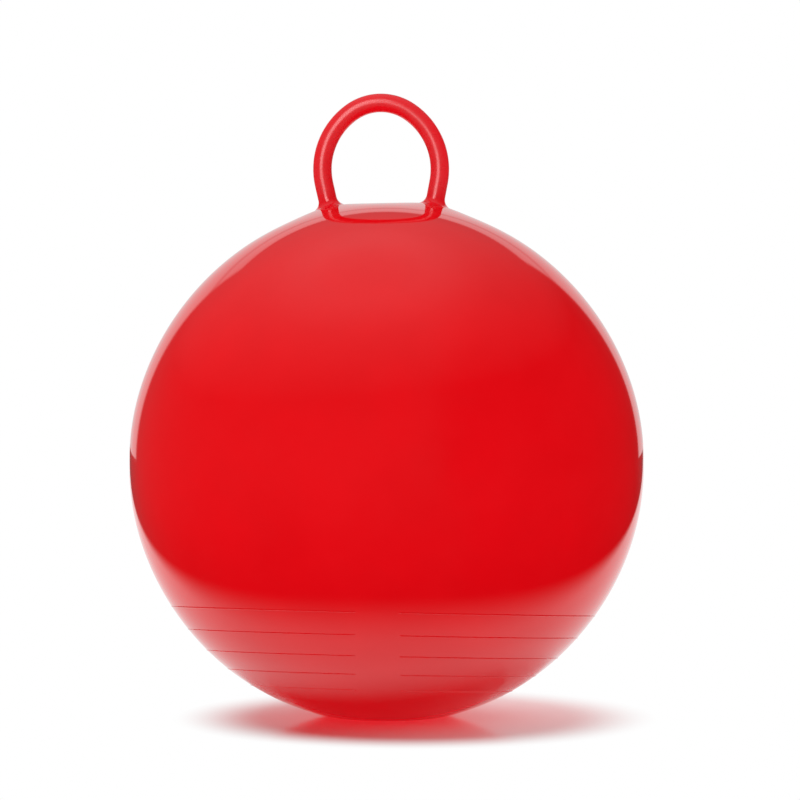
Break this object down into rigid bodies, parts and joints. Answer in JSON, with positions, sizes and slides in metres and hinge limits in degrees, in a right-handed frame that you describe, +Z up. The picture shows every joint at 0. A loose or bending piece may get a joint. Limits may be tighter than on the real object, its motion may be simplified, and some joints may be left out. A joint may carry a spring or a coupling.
{
  "type": "hopper ball",
  "caption": "Inflated bouncing ball with a closed hollow ring handle on top, raised ribs round its lower half, a flattened foot and a push-in valve plug.",
  "frame": {"origin": "centre of the flattened patch that the ball stands on, on the floor under the middle of the ball", "axes": "+Z up; the ring handle's face looks along -Y, and the valve is on the +Y side behind it; +X is to the right as the handle's face is seen. The ball is stored rolled back by 4.5 degrees about X, as it stands in the picture"},
  "size_m": [0.55, 0.5503, 0.6667],
  "materials": {
    "skin_vinyl": "gloss",
    "handle_vinyl": "gloss",
    "valve_vinyl": "satin",
    "plug_plastic": "satin"
  },
  "bodies": {
    "ball": {"ball_skin": "skin_vinyl", "ring_handle": "handle_vinyl", "valve_seat": "valve_vinyl"},
    "plug": {"valve_plug": "plug_plastic"}
  },
  "joints": [
    {"name": "plug_pull", "type": "slide", "parent": "ball", "child": "plug", "axis": [0, 0.5373, 0.8434], "range_m": [0, 0.022]}
  ]
}
